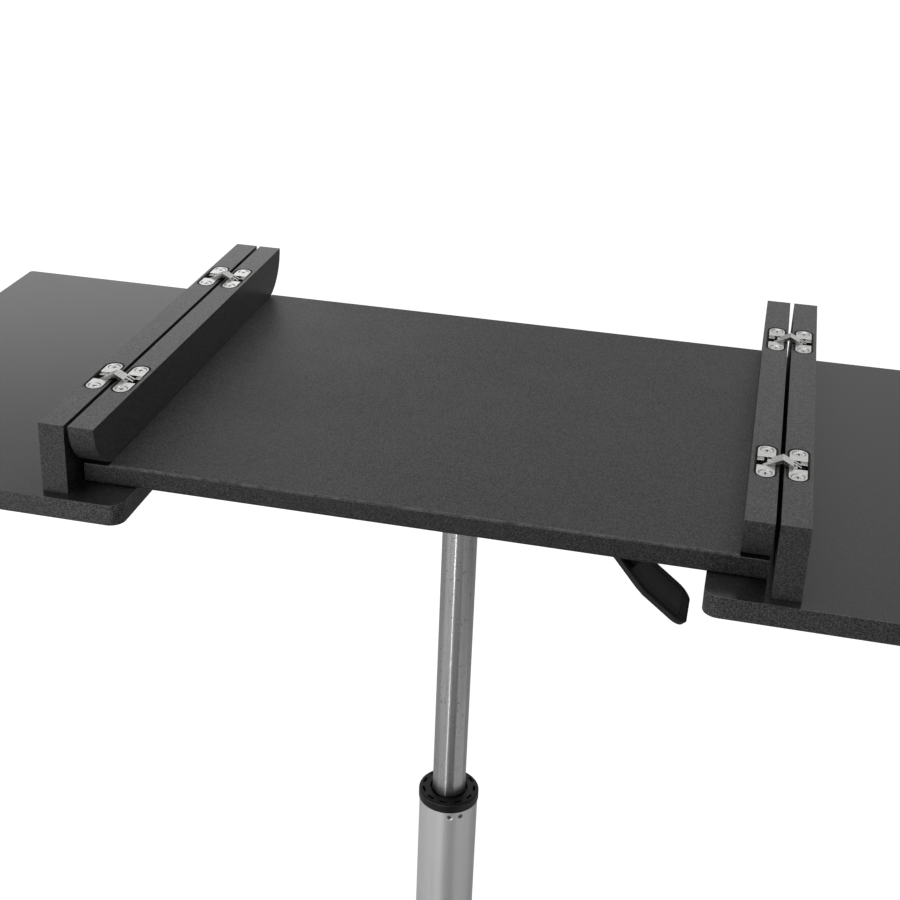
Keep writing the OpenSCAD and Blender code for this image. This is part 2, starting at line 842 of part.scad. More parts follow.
// The shallow dish inside the blade's rim
module blade_dish() {
    intersection() {
        upper_layer(paddle_root + paddle_root_l, paddle_t / 2 - paddle_dish_h);
        translate([0, 0, -paddle_w]) linear_extrude(2 * paddle_w) blade_plan(paddle_rim_w);
    }
}

// Grooves in the floor of the dish that follow the blade's outline round the tip
module grip_grooves() {
    intersection() {
        upper_layer(blade_crook - groove_l, paddle_t / 2 - paddle_dish_h - groove_w);
        translate([0, 0, -paddle_w])
            linear_extrude(2 * paddle_w)
                for (i = [1 : groove_n])
                    difference() {
                        blade_plan(paddle_rim_w + i * groove_step);
                        blade_plan(paddle_rim_w + i * groove_step + groove_w);
                    }
    }
}

module lever_paddle() {
    boss_d = lever_d + 2 * paddle_boss_wall;
    color("#161616")
        on_slope()
            difference() {
                union() {
                    difference() {
                        intersection() {
                            along_y(-paddle_w / 2, paddle_w / 2) blade_side();
                            translate([0, 0, -paddle_w]) linear_extrude(2 * paddle_w) blade_plan(0);
                        }
                        blade_dish();
                    }
                    translate([paddle_root, 0, 0])
                        rotate([0, 90, 0]) cylinder(d = boss_d, h = paddle_boss_l);
                }
                grip_grooves();
                rotate([0, 90, 0]) cylinder(d = lever_d, h = lever_slope_l);
            }
}

module release_button() {
    color("goldenrod")
        translate([0, 0, cyl_top_z - button_sunk])
            cylinder(d = button_d, h = button_top_z - cyl_top_z + button_sunk);
}

// Gas lift

module gas_cylinder() {
    color("#9a9a9a")
        difference() {
            translate([0, 0, cyl_z]) cylinder(d = cyl_d, h = cyl_top_z - cyl_z);
            translate([0, 0, cyl_z - past]) cylinder(d = rod_d + 2 * run_fit, h = cyl_end_t + 2 * past);
            translate([0, 0, cyl_z + cyl_end_t]) cylinder(d = cyl_bore_d, h = cyl_bore_l);
            translate([0, 0, cyl_top_z - button_bore_l])
                cylinder(d = button_d + 2 * run_fit, h = button_bore_l + past);
        }
}

module piston_rod() {
    color("gainsboro") {
        translate([0, 0, rod_shoulder_z]) cylinder(d = rod_d, h = piston_z - rod_shoulder_z);
        translate([0, 0, piston_z]) cylinder(d = cyl_bore_d - 2 * run_fit, h = piston_h);
        translate([0, 0, hub_z - clip_gap - clip_t - rod_tip_l])
            cylinder(d = rod_end_d, h = rod_shoulder_z - hub_z + clip_gap + clip_t + rod_tip_l);
    }
}

module rod_clip() {
    color("dimgray")
        translate([0, 0, hub_z - clip_gap - clip_t])
            difference() {
                cylinder(d = clip_d, h = clip_t);
                translate([0, 0, -past]) cylinder(d = rod_end_d, h = clip_t + 2 * past);
            }
}

module thrust_washer() {
    color("silver")
        translate([0, 0, arm_z])
            difference() {
                cylinder(d = washer_d, h = washer_t);
                translate([0, 0, -past]) cylinder(d = rod_end_d + 2 * run_fit, h = washer_t + 2 * past);
            }
}

module outer_tube() {
    color("#b5b5b5")
        translate([0, 0, arm_z])
            difference() {
                cylinder(d = tube_d, h = tube_l);
                translate([0, 0, -past]) cylinder(d = tube_bore_d, h = tube_l + 2 * past);
            }
}

module guide_cap() {
    color("#151515")
        translate([0, 0, tube_top_z])
            difference() {
                union() {
                    rotate_extrude()
                        difference() {
                            square([cap_d / 2, cap_h]);
                            translate([cap_d / 2, cap_h]) rotate(180) corner_waste(cap_rim_r);
                        }
                    translate([0, 0, -sleeve_l])
                        cylinder(d = cyl_d + 2 * run_fit + 2 * sleeve_wall, h = sleeve_l);
                    translate([0, 0, -sleeve_wall]) cylinder(d = tube_bore_d, h = sleeve_wall);
                    translate([0, 0, -sleeve_l]) cylinder(d = tube_bore_d, h = sleeve_wall);
                }
                translate([0, 0, -sleeve_l - past])
                    cylinder(d = cyl_d + 2 * run_fit, h = sleeve_l + cap_h + 2 * past);
                translate([0, 0, cap_h - recess_h]) cylinder(d = recess_d, h = recess_h + past);
                for (i = [0 : cap_slots - 1])
                    rotate(i * 360 / cap_slots - 90)
                        translate([cap_slot_ring_d / 2 - cap_slot_w / 2, -cap_slot_l / 2,
                                   cap_h - cap_slot_h])
                            cube([cap_slot_w, cap_slot_l, cap_slot_h + past]);
            }
}

// Base

module base_hub() {
    color("#1c1c1c")
        translate([0, 0, hub_z])
            difference() {
                cylinder(d = hub_d, h = hub_floor + hub_h);
                translate([0, 0, hub_floor]) cylinder(d = tube_d, h = hub_h + past);
                translate([0, 0, -past])
                    cylinder(d = rod_end_d + 2 * run_fit, h = hub_floor + 2 * past);
            }
}

module at_arm(i) {
    rotate(45 + 90 * (i - 1)) children();
}

module base_arm(i) {
    arm_end = base_r + arm_past;
    color("#1c1c1c")
        at_arm(i)
            translate([0, 0, arm_z])
                difference() {
                    union() {
                        difference() {
                            translate([0, -arm_w / 2, 0]) cube([arm_end, arm_w, arm_h]);
                            translate([-past, -arm_w / 2 + arm_wall, arm_wall])
                                cube([arm_end + 2 * past, arm_w - 2 * arm_wall, arm_h - 2 * arm_wall]);
                        }
                        translate([base_r, 0, 0]) cylinder(d = caster_sleeve_d, h = arm_h);
                    }
                    translate([0, 0, -past]) cylinder(d = hub_d, h = arm_h + 2 * past);
                    translate([base_r, 0, -past])
                        cylinder(d = stem_d + 2 * run_fit, h = arm_h - arm_wall + past);
                }
}

module arm_plugs() {
    arm_end = base_r + arm_past;
    inner_w = arm_w - 2 * arm_wall;
    inner_h = arm_h - 2 * arm_wall;
    color("#101010")
        for (i = [1 : 4])
            at_arm(i)
                translate([arm_end, 0, arm_z + arm_h / 2]) {
                    translate([plug_t / 2, 0, 0]) cube([plug_t, arm_w, arm_h], center = true);
                    translate([-plug_l / 2, 0, 0]) cube([plug_l, inner_w, inner_h], center = true);
                }
}

// Casters, drawn with the swivel axis at the origin and the axle towards +X

module at_caster(i) {
    at_arm(i) translate([base_r, 0, 0]) children();
}

module caster_stem(i) {
    color("silver")
        at_caster(i)
            translate([0, 0, arm_z - stem_grip])
                cylinder(d = stem_d, h = stem_top_z - arm_z + stem_grip);
}

// Part of a disc between two angles, about the axle
module fan(r, from, to) {
    reach = 2 * r;
    step = (to - from) / fan_steps;
    intersection() {
        circle(r);
        polygon(concat([[0, 0]],
            [for (k = [0 : fan_steps]) reach * [cos(from + k * step), sin(from + k * step)]]));
    }
}

module caster_hood(i) {
    color("#141414")
        at_caster(i)
            difference() {
                union() {
                    along_y(-hood_half_w, hood_half_w)
                        translate([trail, axle_z])
                            difference() {
                                fan(hood_r + hood_wall, hood_from, hood_to);
                                circle(hood_r);
                            }
                    along_y(-web_t / 2, web_t / 2)
                        translate([trail, axle_z]) {
                            fan(hood_r + hood_wall / 4, hood_from, hood_to);
                            circle(web_hub_r);
                        }
                    difference() {
                        translate([0, 0, axle_z]) cylinder(d = boss_d, h = arm_z - axle_z);
                        bar_y(trail, axle_z, 2 * hood_r + hood_wall, -boss_d, boss_d);
                    }
                    for (s = [-1, 1])
                        mirror([0, s < 0 ? 1 : 0, 0])
                            along_y(hood_half_w - ear_t, hood_half_w)
                                ear_outline();
                }
                bar_y(trail, axle_z, axle_d, -web_t, web_t);
                bar_y(brake_x, brake_z, brake_pin_d + 2 * run_fit, -2 * hood_half_w, 2 * hood_half_w);
                translate([0, 0, arm_z - stem_grip]) cylinder(d = stem_d, h = stem_grip + past);
            }
}

// The ear that holds a brake trunnion, joined to the end of the hood
module ear_outline() {
    ear_root = [
        trail + (hood_r + hood_wall / 2) * cos(hood_from + ear_lap),
        axle_z + (hood_r + hood_wall / 2) * sin(hood_from + ear_lap)
    ];
    difference() {
        strap([brake_x, brake_z], ear_root, 2 * ear_r);
        translate([trail, axle_z]) circle(wheel_r + hood_gap / 2);
    }
}

module caster_axle(i) {
    color("silver")
        at_caster(i) bar_y(trail, axle_z, axle_d, -wheel_out, wheel_out);
}

module caster_wheels(i) {
    color("#232323")
        at_caster(i)
            for (s = [-1, 1])
                mirror([0, s < 0 ? 1 : 0, 0])
                    translate([trail, wheel_in, axle_z])
                        rotate([-90, 0, 0])
                            rotate_extrude($fn = wheel_fn)
                                difference() {
                                    translate([axle_d / 2 + run_fit, 0])
                                        square([wheel_r - axle_d / 2 - run_fit, wheel_w]);
                                    translate([wheel_r, 0]) mirror([1, 0]) corner_waste(tread_soft);
                                    translate([wheel_r, wheel_w]) rotate(180) corner_waste(tread_soft);
                                    translate([wheel_hub_r, wheel_w - wheel_dish])
                                        square([wheel_dish_r - wheel_hub_r, wheel_dish + past]);
                                }
}

module caster_brake(i) {
    color("#2c2c2c")
        at_caster(i)
            difference() {
                union() {
                    bar_y(brake_x, brake_z, 2 * brake_hub_r, -brake_half_w, brake_half_w);
                    bar_y(brake_x, brake_z, brake_pin_d, -hood_half_w, hood_half_w);
                    along_y(-brake_half_w, brake_half_w)
                        translate([brake_x, brake_z])
                            polygon([
                                [0, brake_hub_r], [brake_l, foot_z], [brake_l, foot_z - brake_t],
                                [shoe_t, foot_z + brake_drop - brake_t],
                                [shoe_t, -shoe_l], [-shoe_nose, -shoe_l + shoe_nose_z]
                            ]);
                }
                bar_y(trail, axle_z, wheel_d + 2 * shoe_fit, -2 * hood_half_w, 2 * hood_half_w);
            }
}

base_hub();
base_arm(1);  // base_arm_1
base_arm(2);  // base_arm_2
base_arm(3);  // base_arm_3
base_arm(4);  // base_arm_4
arm_plugs();
outer_tube();
guide_cap();
thrust_washer();
piston_rod();
rod_clip();
gas_cylinder();
release_button();
lift_bracket();
bracket_screws();
lever_pin();
lever_rod();
lever_paddle();
centre_panel();
inner_rail(-1);  // inner_rail_left
inner_rail(1);  // inner_rail_right
union() {  // inner_rail_screws
    rail_screws(-inner_rail_x, board_z);
    rail_screws(inner_rail_x, board_z);
}
hinge_cups(-1, -1);  // inner_hinge_cups_left
hinge_cups(1, -1);  // inner_hinge_cups_right
hinge_pins(-1, -1);  // inner_hinge_pins_left
hinge_pins(1, -1);  // inner_hinge_pins_right
hinge_links(-1);  // hinge_links_left
hinge_links(1);  // hinge_links_right
wing_panel(-1);  // wing_panel_left
wing_panel(1);  // wing_panel_right
outer_rail(-1);  // outer_rail_left
outer_rail(1);  // outer_rail_right
rail_screws(-outer_rail_x, wing_z);  // outer_rail_screws_left
rail_screws(outer_rail_x, wing_z);  // outer_rail_screws_right
hinge_cups(-1, 1);  // outer_hinge_cups_left
hinge_cups(1, 1);  // outer_hinge_cups_right
hinge_pins(-1, 1);  // outer_hinge_pins_left
hinge_pins(1, 1);  // outer_hinge_pins_right
caster_stem(1);  // caster_stem_1
caster_hood(1);  // caster_hood_1
caster_axle(1);  // caster_axle_1
caster_wheels(1);  // caster_wheels_1
caster_brake(1);  // caster_brake_1
caster_stem(2);  // caster_stem_2
caster_hood(2);  // caster_hood_2
caster_axle(2);  // caster_axle_2
caster_wheels(2);  // caster_wheels_2
caster_brake(2);  // caster_brake_2
caster_stem(3);  // caster_stem_3
caster_hood(3);  // caster_hood_3
caster_axle(3);  // caster_axle_3
caster_wheels(3);  // caster_wheels_3
caster_brake(3);  // caster_brake_3
caster_stem(4);  // caster_stem_4
caster_hood(4);  // caster_hood_4
caster_axle(4);  // caster_axle_4
caster_wheels(4);  // caster_wheels_4
caster_brake(4);  // caster_brake_4
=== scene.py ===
# Laptop cart. A speckled centre board on a gas lift column, a satin wing board on each side that
# folds over on concealed hinges between upright rails, and a four-armed base on braked casters.
import math

import bpy
from mathutils import Matrix, Vector


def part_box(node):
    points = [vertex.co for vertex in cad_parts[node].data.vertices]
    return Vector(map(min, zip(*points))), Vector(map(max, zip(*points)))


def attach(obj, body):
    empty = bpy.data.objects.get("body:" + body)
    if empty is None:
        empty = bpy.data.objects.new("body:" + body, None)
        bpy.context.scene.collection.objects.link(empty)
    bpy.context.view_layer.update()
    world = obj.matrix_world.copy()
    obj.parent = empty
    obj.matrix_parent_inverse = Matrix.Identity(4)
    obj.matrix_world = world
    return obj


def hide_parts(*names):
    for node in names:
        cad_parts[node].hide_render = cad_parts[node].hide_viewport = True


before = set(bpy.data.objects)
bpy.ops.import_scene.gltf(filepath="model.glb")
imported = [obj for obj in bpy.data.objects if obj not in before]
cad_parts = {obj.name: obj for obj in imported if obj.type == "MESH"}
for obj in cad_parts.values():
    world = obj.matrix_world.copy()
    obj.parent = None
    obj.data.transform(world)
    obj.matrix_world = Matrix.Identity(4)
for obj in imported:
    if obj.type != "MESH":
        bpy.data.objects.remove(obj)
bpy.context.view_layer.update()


# Studio. A pale floor under a white surround and a wide soft light overhead. The satin boards mirror
# a light at the left rear, the column low panels at the left, a strip and two standing cards.
def set_camera():
    """The camera that was solved from the boards' and rails' corners in the photo."""
    azimuth, elevation, roll = math.radians(13.716), math.radians(23.887), math.radians(1.462)
    board_top = 0.85
    data = bpy.data.cameras.new("photo_camera")
    data.sensor_width = 36.0
    data.lens = 61.44
    data.shift_x = 0.0532
    data.shift_y = -0.0741
    data.clip_end = 50.0
    camera = bpy.data.objects.new("photo_camera", data)
    bpy.context.scene.collection.objects.link(camera)
    turn = (Matrix.Rotation(azimuth, 4, "Z")
            @ Matrix.Rotation(math.pi / 2 - elevation, 4, "X")
            @ Matrix.Rotation(roll, 4, "Z"))
    camera.matrix_world = Matrix.Translation((0.1980, -1.0105, 0.4692 + board_top)) @ turn
    bpy.context.scene.camera = camera


set_camera()
bpy.context.scene.view_settings.view_transform = "Standard"


def soft_light(name, place, aim, width, height, watts):
    data = bpy.data.lights.new(name, "AREA")
    data.shape = "RECTANGLE"
    data.size = width
    data.size_y = height
    data.energy = watts
    lamp = bpy.data.objects.new(name, data)
    lamp.location = place
    lamp.rotation_mode = "QUATERNION"
    lamp.rotation_quaternion = (Vector(aim) - Vector(place)).to_track_quat("-Z", "Y")
    bpy.context.scene.collection.objects.link(lamp)


soft_light("overhead_light", (-0.1, 0.3, 3.2), (0, 0, 0.8), 2.6, 2.2, 42)
soft_light("rear_left_light", (-1.6, 2.35, 1.45), (-0.3, 0, 0.85), 1.8, 1.0, 3.5)
soft_light("front_left_light", (-1.0, -1.05, 0.84), (-0.2, 0, 0.8), 1.5, 0.6, 5.2)
soft_light("left_panel", (-2.1, -0.3, 0.8), (0, 0, 0.6), 3.2, 1.4, 3.8)
soft_light("strip_light", (-0.38, -1.95, 0.8), (0, 0, 0.6), 0.1, 1.3, 6.5)


def grey(tone, blue=0.0):
    """A grey colour, with a trace more or less blue in it."""
    return (tone, tone, tone + blue, 1)


def feed(tree, socket, value):
    """Links a socket to another one, or sets it to a number or a colour."""
    if isinstance(value, bpy.types.NodeSocket):
        tree.links.new(value, socket)
    else:
        socket.default_value = value


def ramp(tree, source, low, high, start=0.0, end=1.0):
    """Goes from start to end while the source goes from low to high."""
    node = tree.nodes.new("ShaderNodeMapRange")
    for name, value in (("Value", source), ("From Min", low), ("From Max", high),
                        ("To Min", start), ("To Max", end)):
        feed(tree, node.inputs[name], value)
    return node.outputs["Result"]


def pick_shader(tree, mask, first, second):
    node = tree.nodes.new("ShaderNodeMixShader")
    for socket, source in zip(node.inputs, (mask, first, second)):
        tree.links.new(source, socket)
    return node.outputs[0]


def surround():
    """White to the camera, mid grey in shiny surfaces, and hardly a light of its own."""
    matt_strength = 0.1
    world = bpy.data.worlds.new("white_surround")
    bpy.context.scene.world = world
    world.use_nodes = True
    tree = world.node_tree
    tree.nodes.clear()

    def backdrop(strength):
        node = tree.nodes.new("ShaderNodeBackground")
        node.inputs["Color"].default_value = grey(1.0)
        node.inputs["Strength"].default_value = strength
        return node.outputs[0]

    path = tree.nodes.new("ShaderNodeLightPath")
    seen = backdrop(matt_strength)
    for ray, strength in (("Is Glossy Ray", 0.58), ("Is Camera Ray", 1.0)):
        seen = pick_shader(tree, path.outputs[ray], seen, backdrop(strength))
    tree.links.new(seen, tree.nodes.new("ShaderNodeOutputWorld").inputs["Surface"])


surround()


def pale_floor():
    """A matt floor that glows towards the camera, so that it runs into the white surround."""
    floor_size, near_reach, far_reach = 24, 0.6, 4.0
    near_glow, far_glow = 0.72, 1.0
    bpy.ops.object.select_all(action="DESELECT")
    bpy.ops.mesh.primitive_plane_add(size=floor_size, location=(0, 0, 0))
    floor = bpy.context.object
    floor.name = "studio_floor"
    material = bpy.data.materials.new("studio_floor")
    material.use_nodes = True
    tree = material.node_tree
    shader = tree.nodes["Principled BSDF"]
    shader.inputs["Base Color"].default_value = grey(0.62)
    shader.inputs["Roughness"].default_value = 0.9
    shader.inputs["Specular IOR Level"].default_value = 0.0
    reach = tree.nodes.new("ShaderNodeVectorMath")
    reach.operation = "LENGTH"
    tree.links.new(tree.nodes.new("ShaderNodeTexCoord").outputs["Object"], reach.inputs[0])
    glow = tree.nodes.new("ShaderNodeEmission")
    tree.links.new(ramp(tree, reach.outputs["Value"], near_reach, far_reach, near_glow, far_glow),
                   glow.inputs["Strength"])
    both = tree.nodes.new("ShaderNodeAddShader")
    tree.links.new(shader.outputs[0], both.inputs[0])
    tree.links.new(glow.outputs[0], both.inputs[1])
    path = tree.nodes.new("ShaderNodeLightPath")
    seen = pick_shader(tree, path.outputs["Is Camera Ray"], shader.outputs[0], both.outputs[0])
    tree.links.new(seen, tree.nodes["Material Output"].inputs["Surface"])
    floor.data.materials.append(material)


pale_floor()


def mirrored_card(name, place, width, height, turn, tone, glow):
    """A standing card that only shiny surfaces see."""
    bpy.ops.object.select_all(action="DESELECT")
    bpy.ops.mesh.primitive_plane_add(size=1, location=place)
    card = bpy.context.object
    card.name = name
    card.scale = (width, height, 1)
    card.rotation_euler = (math.pi / 2, 0, math.radians(turn))
    material = bpy.data.materials.new(name)
    material.use_nodes = True
    shader = material.node_tree.nodes["Principled BSDF"]
    shader.inputs["Base Color"].default_value = grey(tone)
    shader.inputs["Roughness"].default_value = 1.0
    shader.inputs["Emission Color"].default_value = grey(1.0)
    shader.inputs["Emission Strength"].default_value = glow
    card.data.materials.append(material)
    card.visible_camera = False
    card.visible_diffuse = False
    card.visible_shadow = False


mirrored_card("dark_flag", (0.15, -0.43, 0.13), 0.33, 0.26, turn=19, tone=0.02, glow=0.0)
mirrored_card("pale_card", (0.5, -0.1, 0.13), 0.7, 0.26, turn=79, tone=0.5, glow=0.45)


# Centre board. Particle board in a dark grey laminate with a fine pale speckle on faces and edges;
# its long edges are slightly rounded. Screwed to the lift bracket from below.
def new_finish(name, roughness, metallic=0.0):
    material = bpy.data.materials.new(name)
    material.use_nodes = True
    shader = material.node_tree.nodes["Principled BSDF"]
    shader.inputs["Roughness"].default_value = roughness
    shader.inputs["Metallic"].default_value = metallic
    return material, material.node_tree, shader


def new_group(name, inputs, outputs):
    """An empty node group. A tuple makes a colour input, and Color is the colour output."""
    tree = bpy.data.node_groups.new(name, "ShaderNodeTree")
    for label, value in inputs.items():
        kind = "NodeSocketColor" if isinstance(value, tuple) else "NodeSocketFloat"
        tree.interface.new_socket(label, in_out="INPUT", socket_type=kind).default_value = value
    for label in outputs:
        kind = "NodeSocketColor" if label == "Color" else "NodeSocketFloat"
        tree.interface.new_socket(label, in_out="OUTPUT", socket_type=kind)
    ins, outs = tree.nodes.new("NodeGroupInput"), tree.nodes.new("NodeGroupOutput")
    return tree, ins.outputs, outs.inputs


def add_group(tree, group, **values):
    node = tree.nodes.new("ShaderNodeGroup")
    node.node_tree = group
    for name, value in values.items():
        node.inputs[name].default_value = value
    return node.outputs


def place_coords(tree):
    return tree.nodes.new("ShaderNodeTexCoord").outputs["Object"]


def axes(tree, source):
    node = tree.nodes.new("ShaderNodeSeparateXYZ")
    tree.links.new(source, node.inputs[0])
    return node.outputs


def facing(tree):
    """The surface's own normal, axis by axis."""
    return axes(tree, tree.nodes.new("ShaderNodeTexCoord").outputs["Normal"])


def calc(tree, operation, *values, clamp=False):
    node = tree.nodes.new("ShaderNodeMath")
    node.operation = operation
    node.use_clamp = clamp
    for socket, value in zip(node.inputs, values):
        feed(tree, socket, value)
    return node.outputs[0]


def noise(tree, where, scale, detail, roughness=0.5):
    node = tree.nodes.new("ShaderNodeTexNoise")
    for name, value in (("Vector", where), ("Scale", scale), ("Detail", detail),
                        ("Roughness", roughness)):
        feed(tree, node.inputs[name], value)
    return node.outputs["Fac"]


def mix_color(tree, mask, first, second):
    node = tree.nodes.new("ShaderNodeMix")
    node.data_type = "RGBA"
    for name, value in (("Factor", mask), ("A", first), ("B", second)):
        feed(tree, node.inputs[name], value)
    return node.outputs["Result"]


def build_speckle_group():
    """Pale flecks in a dark ground, in cells that a fine noise breaks up."""
    tree, ins, outs = new_group(
        "laminate_speckle", {"Ground": grey(0.03), "Speck": grey(0.1), "Scale": 900.0, "Share": 0.5},
        ("Color", "Height"))
    where = place_coords(tree)
    fine = noise(tree, where, ins["Scale"], 3.0, 0.75)
    cells = tree.nodes.new("ShaderNodeTexVoronoi")
    cells.feature = "F1"
    tree.links.new(where, cells.inputs["Vector"])
    tree.links.new(ins["Scale"], cells.inputs["Scale"])
    cell_tone = tree.nodes.new("ShaderNodeRGBToBW")
    tree.links.new(cells.outputs["Color"], cell_tone.inputs["Color"])
    fleck = calc(tree, "MULTIPLY", ramp(tree, fine, 0.36, 0.64),
                 ramp(tree, cell_tone.outputs["Val"], 0.35, 0.75))
    share = calc(tree, "MULTIPLY", fleck, ins["Share"], clamp=True)
    tree.links.new(mix_color(tree, share, ins["Ground"], ins["Speck"]), outs["Color"])
    tree.links.new(fleck, outs["Height"])
    return tree


speckle_group = build_speckle_group()


def build_handling_group():
    """Cloudy patches, duller where hands and cloths have been."""
    tree, ins, outs = new_group(
        "handling_marks", {"Low": 0.3, "High": 0.4, "Scale": 14.0}, ("Roughness",))
    cloud = noise(tree, place_coords(tree), ins["Scale"], 5.0, 0.6)
    tree.links.new(ramp(tree, cloud, 0.3, 0.7, ins["Low"], ins["High"]), outs["Roughness"])
    return tree


handling_group = build_handling_group()


def add_marks(tree, shader, low, high, scale):
    marks = add_group(tree, handling_group, Low=low, High=high, Scale=scale)
    tree.links.new(marks["Roughness"], shader.inputs["Roughness"])


def add_bump(tree, shader, height, strength, distance):
    bump = tree.nodes.new("ShaderNodeBump")
    bump.inputs["Strength"].default_value = strength
    bump.inputs["Distance"].default_value = distance
    tree.links.new(height, bump.inputs["Height"])
    tree.links.new(bump.outputs["Normal"], shader.inputs["Normal"])


def build_arris_highlight_group():
    """A painted highlight along the arrises that face up and outwards, broken up by noise."""
    tree, ins, outs = new_group("painted_arris_highlight", {"Amount": 0.5}, ("Mask",))
    upward = facing(tree)["Z"]
    tilt = calc(tree, "MULTIPLY", ramp(tree, upward, 0.1, 0.35), ramp(tree, upward, 0.98, 0.9))
    break_up = ramp(tree, noise(tree, place_coords(tree), 180.0, 3.0), 0.3, 0.65)
    mask = calc(tree, "MULTIPLY", calc(tree, "MULTIPLY", tilt, break_up), ins["Amount"], clamp=True)
    tree.links.new(mask, outs["Mask"])
    return tree


arris_highlight_group = build_arris_highlight_group()


def paint_arris_highlights(tree, color, amount):
    """Lightens the upper arrises with a painted highlight."""
    highlight_mask = add_group(tree, arris_highlight_group, Amount=amount)
    return mix_color(tree, highlight_mask["Mask"], color, grey(0.3, -0.01))


def make_centre_finish():
    material, tree, shader = new_finish("centre_board_laminate", 0.5)
    grain = add_group(tree, speckle_group, Ground=grey(0.008, 0.0005), Speck=grey(0.16),
                      Scale=1500.0, Share=0.6)
    shader.inputs["Specular IOR Level"].default_value = 0.32
    # Painted highlight along the upper arrises.
    tree.links.new(paint_arris_highlights(tree, grain["Color"], 0.25), shader.inputs["Base Color"])
    add_marks(tree, shader, 0.37, 0.48, 9.0)
    add_bump(tree, shader, grain["Height"], 0.35, 0.0002)
    return material


def eased_copy(node, name, width, steps=2):
    """A copy of a CAD shape with its sharp arrises taken off, as a router or a file leaves them."""
    weld_gap, flat_angle, arris_angle, smooth_angle = 0.000002, 0.3, 40, 32
    piece = bpy.data.objects.new(name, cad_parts[node].data.copy())
    bpy.context.scene.collection.objects.link(piece)
    piece.data.materials.clear()
    bpy.ops.object.select_all(action="DESELECT")
    piece.select_set(True)
    bpy.context.view_layer.objects.active = piece
    bpy.ops.object.mode_set(mode="EDIT")
    bpy.ops.mesh.select_all(action="SELECT")
    bpy.ops.mesh.remove_doubles(threshold=weld_gap)
    bpy.ops.mesh.dissolve_limited(angle_limit=math.radians(flat_angle))
    bpy.ops.object.mode_set(mode="OBJECT")
    ease = piece.modifiers.new("ease", "BEVEL")
    ease.width = width
    ease.segments = steps
    ease.limit_method = "ANGLE"
    ease.angle_limit = math.radians(arris_angle)
    ease.use_clamp_overlap = True
    bpy.ops.object.modifier_apply(modifier="ease")
    bpy.ops.object.shade_smooth_by_angle(angle=math.radians(smooth_angle))
    flat = piece.modifiers.new("flat_faces", "WEIGHTED_NORMAL")
    flat.weight = 100
    flat.keep_sharp = True
    bpy.ops.object.modifier_apply(modifier="flat_faces")
    return piece


def dress(piece, material, node, body):
    piece.data.materials.append(material)
    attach(piece, body)
    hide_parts(node)


dress(eased_copy("centre_panel", "centre_board", 0.0004), make_centre_finish(),
      "centre_panel", "top")


# Wing boards. The same particle board under a smooth satin black laminate that mirrors the room;
# the edges carry a speckled band. Each is screwed up into its outer rail from below.
def make_wing_finish():
    material, tree, shader = new_finish("wing_laminate", 0.2)
    face = ramp(tree, calc(tree, "ABSOLUTE", facing(tree)["Z"]), 0.85, 0.95)
    smooth = add_group(tree, speckle_group, Ground=grey(0.022, 0.001), Speck=grey(0.08, 0.002),
                       Scale=1100.0, Share=0.4)
    banded = add_group(tree, speckle_group, Ground=grey(0.006, 0.0005), Speck=grey(0.24),
                       Scale=1600.0, Share=0.7)
    color = mix_color(tree, face, banded["Color"], smooth["Color"])
    # Painted highlight along the upper arrises.
    tree.links.new(paint_arris_highlights(tree, color, 0.5), shader.inputs["Base Color"])
    tree.links.new(ramp(tree, face, 0.0, 1.0, 0.5, 0.2), shader.inputs["Roughness"])
    add_bump(tree, shader, banded["Height"], 0.04, 0.0002)
    return material


wing_finish = make_wing_finish()
for side in ("left", "right"):
    dress(eased_copy(f"wing_panel_{side}", f"wing_board_{side}", 0.0005), wing_finish,
          f"wing_panel_{side}", f"wing_{side}")


# Upright rails. Laminated bars beside the fold; the inner ones stand on the centre board, the outer
# ones on the wings. Their sawn ends are speckled, and a painted shadow rings the hinge mortises.
def folded_axis(tree, source, *offsets):
    """The distance from the nearest of the mirrored places that the offsets name."""
    value = source
    for offset in offsets:
        value = calc(tree, "SUBTRACT", calc(tree, "ABSOLUTE", value), offset)
    return value


def build_hinge_place_group():
    """Distances from the hinge cups' outlines and from the middles of their screws."""
    fold_x, cup_x, hinge_y, screw_y = 0.2265, 0.01, 0.107, 0.01675
    cup_half_w = 0.00575
    tree, _, outs = new_group("hinge_places", {}, ("Outside", "Screw"))
    place = axes(tree, place_coords(tree))
    across = folded_axis(tree, place["X"], fold_x, cup_x)
    along = folded_axis(tree, place["Y"], hinge_y, screw_y)
    past_screw = calc(tree, "MAXIMUM", along, 0.0)
    for reach, socket, outline in ((past_screw, "Outside", cup_half_w), (along, "Screw", 0.0)):
        flat = tree.nodes.new("ShaderNodeCombineXYZ")
        tree.links.new(across, flat.inputs["X"])
        tree.links.new(reach, flat.inputs["Y"])
        length = tree.nodes.new("ShaderNodeVectorMath")
        length.operation = "LENGTH"
        tree.links.new(flat.outputs[0], length.inputs[0])
        tree.links.new(calc(tree, "SUBTRACT", length.outputs["Value"], outline), outs[socket])
    return tree


hinge_place_group = build_hinge_place_group()


def darken(tree, shader, mask, tone):
    """Mixes another tone over the finish where the mask is 1."""
    color = shader.inputs["Base Color"].links[0].from_socket
    tree.links.new(mix_color(tree, mask, color, tone), shader.inputs["Base Color"])


def add_relief(tree, shader, height, distance):
    """A larger relief under the bump of the grain."""
    relief = tree.nodes.new("ShaderNodeBump")
    relief.inputs["Distance"].default_value = distance
    tree.links.new(height, relief.inputs["Height"])
    grain = shader.inputs["Normal"].links[0].from_node
    tree.links.new(relief.outputs["Normal"], grain.inputs["Normal"])


